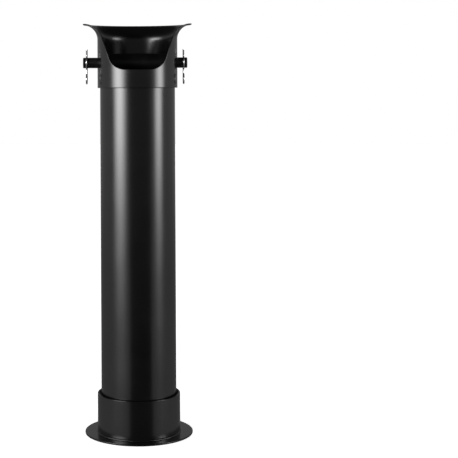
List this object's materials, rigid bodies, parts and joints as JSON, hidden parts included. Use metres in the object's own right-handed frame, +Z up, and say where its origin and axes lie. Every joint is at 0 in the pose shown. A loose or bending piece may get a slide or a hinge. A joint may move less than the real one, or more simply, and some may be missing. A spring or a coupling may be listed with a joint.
{
  "type": "knock box",
  "caption": "Tall floor-standing espresso knock tube: flared head with a U-shaped front opening and a rubber-sleeved knock bar, plain tube, round flanged base.",
  "frame": {"origin": "centre of the underside of the base pad, where the tube's axis meets the floor", "axes": "+Z up along the tube, -Y to the open front of the head, +X to the right of someone facing the open front (along the knock bar)"},
  "size_m": [0.218, 0.2165, 0.8186],
  "materials": {
    "black_powder_coat": "satin black powder coat",
    "black_bar": "satin black",
    "black_rubber": "matte",
    "sleeve_rubber": "matte",
    "spring_steel": "bright zinc-plated spring steel"
  },
  "bodies": {
    "base": {"base_pad": "black_rubber", "base_plate": "black_powder_coat", "base_collar": "black_powder_coat", "collar_seal": "black_rubber"},
    "seat": {"tube_seat": "black_rubber"},
    "tube_body": {"tube": "black_powder_coat"},
    "gasket": {"rim_gasket": "black_rubber"},
    "head": {"head_shell": "black_powder_coat", "head_stop_ring": "black_powder_coat"},
    "bar_sleeve": {"knock_bar_sleeve": "sleeve_rubber"},
    "bar_rod": {"knock_bar_rod": "black_bar"},
    "left_clip": {"clip_left": "spring_steel"},
    "right_clip": {"clip_right": "spring_steel"}
  },
  "joints": [
    {"name": "tube_turn", "type": "hinge", "parent": "base", "child": "seat", "pos_m": [0, 0, 0.005], "axis": [0, 0, 1], "continuous": true},
    {"name": "tube_lift", "type": "slide", "parent": "seat", "child": "tube_body", "axis": [0, 0, 1], "range_m": [0, 0.085]},
    {"name": "head_turn", "type": "hinge", "parent": "tube_body", "child": "gasket", "pos_m": [0, 0, 0.7133], "axis": [0, 0, 1], "continuous": true},
    {"name": "head_lift", "type": "slide", "parent": "gasket", "child": "head", "axis": [0, 0, 1], "range_m": [0, 0.04]},
    {"name": "bar_slide", "type": "slide", "parent": "head", "child": "bar_sleeve", "axis": [1, 0, 0], "range_m": [-0.0075, 0.0165]},
    {"name": "bar_roll", "type": "hinge", "parent": "bar_sleeve", "child": "bar_rod", "pos_m": [-0.0045, 0, 0.74035], "axis": [1, 0, 0], "continuous": true},
    {"name": "left_clip_pull", "type": "slide", "parent": "bar_rod", "child": "left_clip", "axis": [0, 0, -1], "range_m": [0, 0.042], "deforming": ["clip_left"]},
    {"name": "right_clip_pull", "type": "slide", "parent": "bar_rod", "child": "right_clip", "axis": [0, 0, -1], "range_m": [0, 0.042], "deforming": ["clip_right"]}
  ]
}
